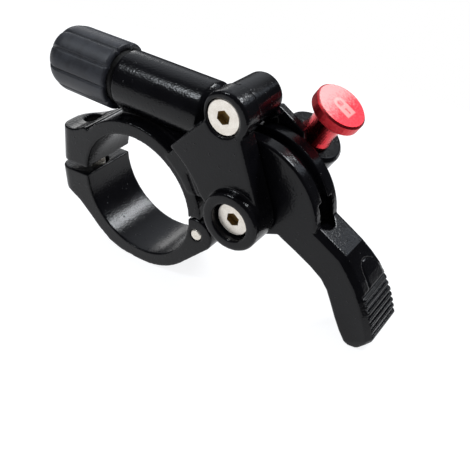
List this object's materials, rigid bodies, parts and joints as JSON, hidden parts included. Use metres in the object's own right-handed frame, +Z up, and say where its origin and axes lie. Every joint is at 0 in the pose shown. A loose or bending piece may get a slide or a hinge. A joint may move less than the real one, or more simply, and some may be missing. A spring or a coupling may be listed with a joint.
{
  "type": "fork lockout lever",
  "caption": "Handlebar lever with a hinged clamp, a grooved cable sector with a thumb paddle, a cable tube with an adjuster knob and a release button.",
  "frame": {"origin": "centre of the unit's footprint, at the height of the clamp's lowest line and the paddle's tip", "axes": "+X from the clamp towards the lever's paddle, +Y along the handlebar away from the screw heads, +Z up"},
  "size_m": [0.0622, 0.0224, 0.038],
  "materials": {
    "black_paint": "gloss, slight orange peel",
    "knob_satin": "satin, blue-black",
    "plated_steel": "bright plating",
    "spring_steel": "drawn wire",
    "bronze": "turned",
    "red_anodised": "red anodised, satin",
    "rubber": "matt"
  },
  "bodies": {
    "clamp": {"clamp_body": "black_paint", "hinge_pin": "plated_steel", "adjuster_o_ring": "rubber", "pivot_bushing": "bronze", "pivot_screw": "plated_steel", "pivot_washer": "plated_steel", "pivot_nut": "plated_steel", "return_spring": "spring_steel", "release_screw": "plated_steel", "release_sleeve_nut": "plated_steel", "release_washer": "plated_steel", "release_spring": "spring_steel"},
    "strap": {"clamp_strap": "black_paint", "clamp_screw": "plated_steel", "clamp_washer": "plated_steel"},
    "barrel": {"adjuster_barrel": "bronze"},
    "knob": {"adjuster_knob": "knob_satin"},
    "lever": {"lever": "black_paint"},
    "release": {"release_arm": "black_paint", "release_button": "red_anodised", "button_pin": "plated_steel"}
  },
  "joints": [
    {"name": "clamp_hinge", "type": "hinge", "parent": "clamp", "child": "strap", "pos_m": [-0.00014, -0.00228, 0.0106], "axis": [0, -1, 0], "range_deg": [0, 2]},
    {"name": "lever_pivot", "type": "hinge", "parent": "clamp", "child": "lever", "pos_m": [0.00876, -0.00237, 0.0184], "axis": [0, 1, 0], "range_deg": [0, 40], "stiffness_Nm_per_rad": 0.03},
    {"name": "release_pivot", "type": "hinge", "parent": "clamp", "child": "release", "pos_m": [0.00681, 0.00122, 0.034], "axis": [0, 1, 0], "range_deg": [0, 8], "stiffness_Nm_per_rad": 0.02},
    {"name": "adjuster_slide", "type": "slide", "parent": "clamp", "child": "barrel", "axis": [-0.9968, 0, 0.0797], "range_m": [0, 0.004]},
    {"name": "adjuster_spin", "type": "hinge", "parent": "barrel", "child": "knob", "pos_m": [-0.01674, -0.00228, 0.03153], "axis": [-0.9968, 0, 0.0797], "range_deg": [0, 1800]}
  ],
  "couplings": [
    {"joint": "adjuster_spin", "follows": "adjuster_slide", "rad_per_m": 7854}
  ]
}
